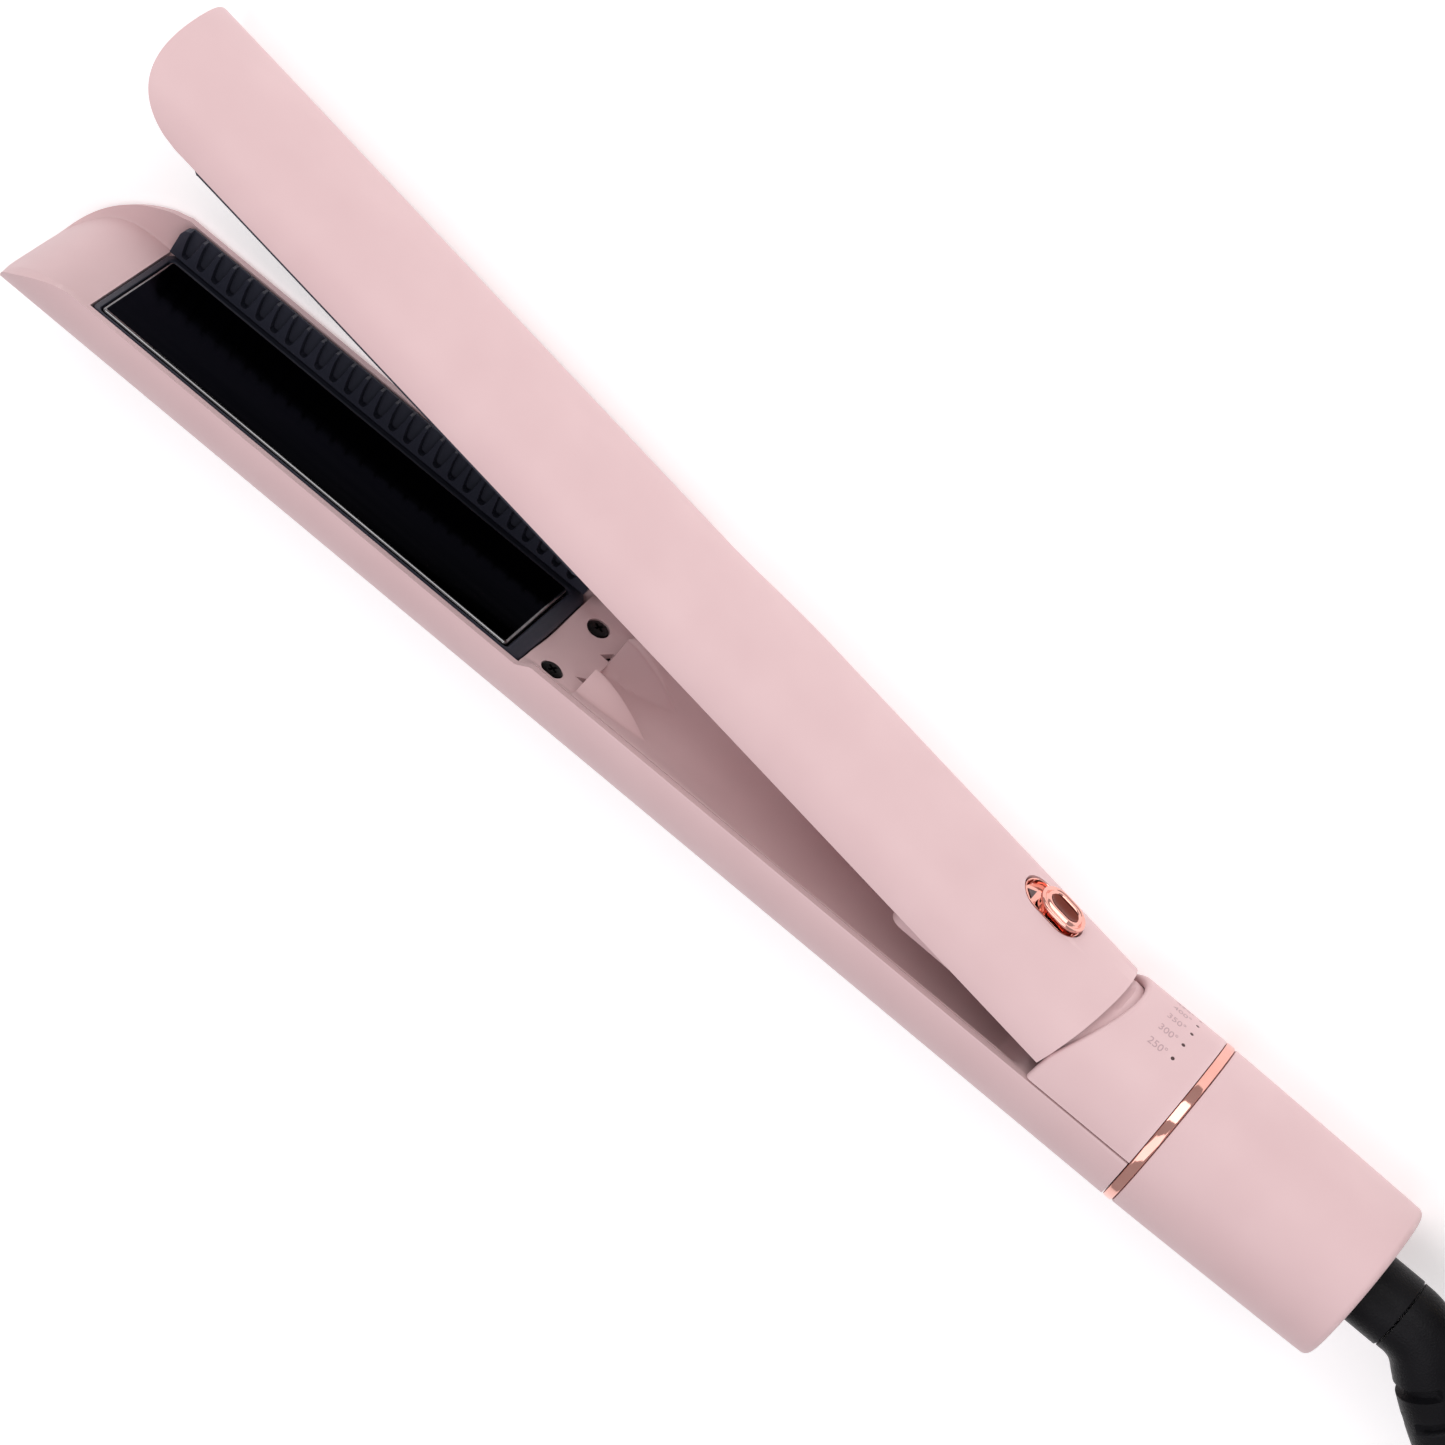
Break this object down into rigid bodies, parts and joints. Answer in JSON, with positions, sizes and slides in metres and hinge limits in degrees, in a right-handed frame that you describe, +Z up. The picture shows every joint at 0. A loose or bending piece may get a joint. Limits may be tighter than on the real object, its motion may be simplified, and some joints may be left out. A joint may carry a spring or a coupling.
{
  "type": "flat iron",
  "caption": "Open hair straightener: two hinged half-round arms with floating heating plates, an edge comb, a sliding lock, a rotary dial, a swivel strain relief and a tied mains cord.",
  "frame": {"origin": "centre of the open iron's footprint on the table, cord left out: the iron lies on its side", "axes": "+X from the tips to the dial, +Y from the lower arm to the upper arm (the way it opens), +Z up; hinge axis along Z"},
  "size_m": [0.5683, 0.0897, 0.0342],
  "materials": {
    "soft_pink": "matte soft-touch",
    "charcoal": "satin moulded",
    "plate_black": "gloss ceramic coating",
    "rose_gold": "polished plating",
    "rubber_black": "fine grain, matt",
    "steel": "satin",
    "dark_steel": "black oxide",
    "ceramic": "fired ceramic",
    "silicone": "soft",
    "board_green": "solder mask",
    "nylon": "moulded",
    "wire_red": "insulated wire",
    "lens": "smoked",
    "brass": "polished"
  },
  "bodies": {
    "body": {"lower_shell": "soft_pink", "lower_inner_cover": "soft_pink", "hinge_collar": "soft_pink", "lower_plate_frame": "charcoal", "heat_comb": "charcoal", "board_capacitor": "charcoal", "trim_ring": "rose_gold", "cord_lead": "rubber_black", "cord_hank": "rubber_black", "hank_tie": "rubber_black", "cord_tail": "rubber_black", "plug_body": "rubber_black", "hinge_bracket_near": "steel", "hinge_bracket_far": "steel", "hinge_pin": "steel", "hinge_spring": "steel", "dial_detent_spring": "steel", "cover_screw_near": "dark_steel", "cover_screw_far": "dark_steel", "lower_cushion_front": "silicone", "lower_cushion_rear": "silicone", "control_board": "board_green", "temperature_encoder": "board_green", "lower_plate_carrier": "nylon", "tail_tube": "nylon", "swivel_socket": "nylon", "lower_heater_lead": "wire_red", "board_supply_lead": "wire_red", "indicator_light_pipe": "lens", "thermistor": "brass", "plug_blade_near": "brass", "plug_blade_far": "brass"},
    "upper_arm": {"upper_shell": "soft_pink", "upper_inner_cover": "soft_pink", "hinge_tongue": "soft_pink", "hinge_knuckle": "soft_pink", "upper_plate_frame": "charcoal", "upper_screw_near": "dark_steel", "upper_screw_far": "dark_steel", "upper_plate_carrier": "nylon", "upper_cushion_front": "silicone", "upper_cushion_rear": "silicone", "upper_heater_lead": "wire_red", "lock_bezel": "rose_gold"},
    "lower_plate": {"lower_plate": "plate_black", "lower_heater": "ceramic", "lower_heater_clip": "steel"},
    "upper_plate": {"upper_plate": "plate_black", "upper_heater": "ceramic", "upper_heater_clip": "steel"},
    "dial": {"temperature_dial": "soft_pink"},
    "lock": {"lock_button": "rose_gold"},
    "swivel": {"swivel_barrel": "rubber_black", "strain_relief": "rubber_black"}
  },
  "joints": [
    {"name": "arm_hinge", "type": "hinge", "parent": "body", "child": "upper_arm", "pos_m": [0.09592, -0.01578, 0.0171], "axis": [0, 0, 1], "range_deg": [0, 8.4], "stiffness_Nm_per_rad": 0.3, "springref_deg": -8.59},
    {"name": "lower_plate_float", "type": "slide", "parent": "body", "child": "lower_plate", "axis": [0, -1, 0], "range_m": [0, 0.0006], "stiffness_N_per_m": 3000, "springref_m": -0.0004},
    {"name": "upper_plate_float", "type": "slide", "parent": "upper_arm", "child": "upper_plate", "axis": [0.1461, 0.9893, 0], "range_m": [0, 0.0006], "stiffness_N_per_m": 3000, "springref_m": -0.0004},
    {"name": "lock_slide", "type": "slide", "parent": "upper_arm", "child": "lock", "axis": [-0.9893, 0.1461, 0], "range_m": [0, 0.003]},
    {"name": "dial_turn", "type": "hinge", "parent": "body", "child": "dial", "pos_m": [0.10253, -0.01578, 0.0171], "axis": [1, 0, 0], "range_deg": [-25, 25]},
    {"name": "cord_swivel", "type": "hinge", "parent": "body", "child": "swivel", "pos_m": [0.15257, -0.01578, 0.0171], "axis": [1, 0, 0], "range_deg": [-75, 20]}
  ]
}
